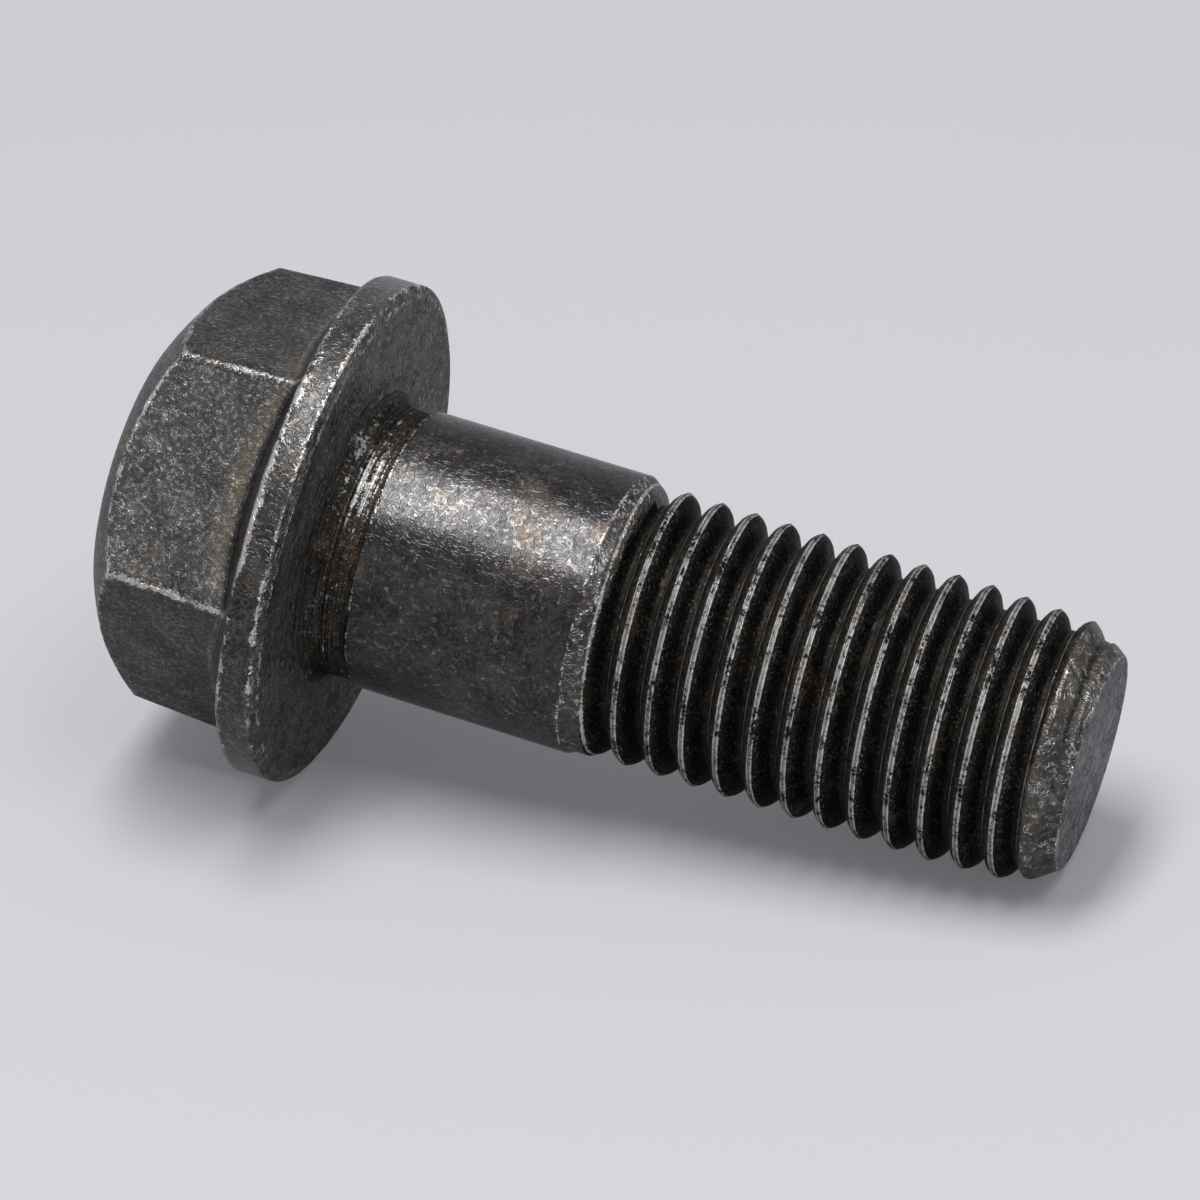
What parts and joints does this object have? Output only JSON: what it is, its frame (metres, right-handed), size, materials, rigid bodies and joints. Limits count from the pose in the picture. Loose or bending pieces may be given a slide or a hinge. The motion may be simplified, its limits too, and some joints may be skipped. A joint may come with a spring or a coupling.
{
  "type": "flywheel bolt",
  "caption": "Hexagon flange bolt with an undercut neck, a plain fitted shank and a fine right-hand thread, for clamping a flywheel to a crankshaft.",
  "frame": {"origin": "centre of the flange's bearing face, on the shank's axis", "axes": "+Z along the shank from the bearing face to the threaded tip; the hexagon has a corner towards +X and a flat towards -Y"},
  "size_m": [0.022, 0.022, 0.0422],
  "materials": {
    "blackened_steel": "worn black oxide over forged and rolled steel, edges rubbed bright, traces of brown rust"
  },
  "bodies": {
    "root": {"flywheel_bolt": "blackened_steel"}
  },
  "joints": []
}
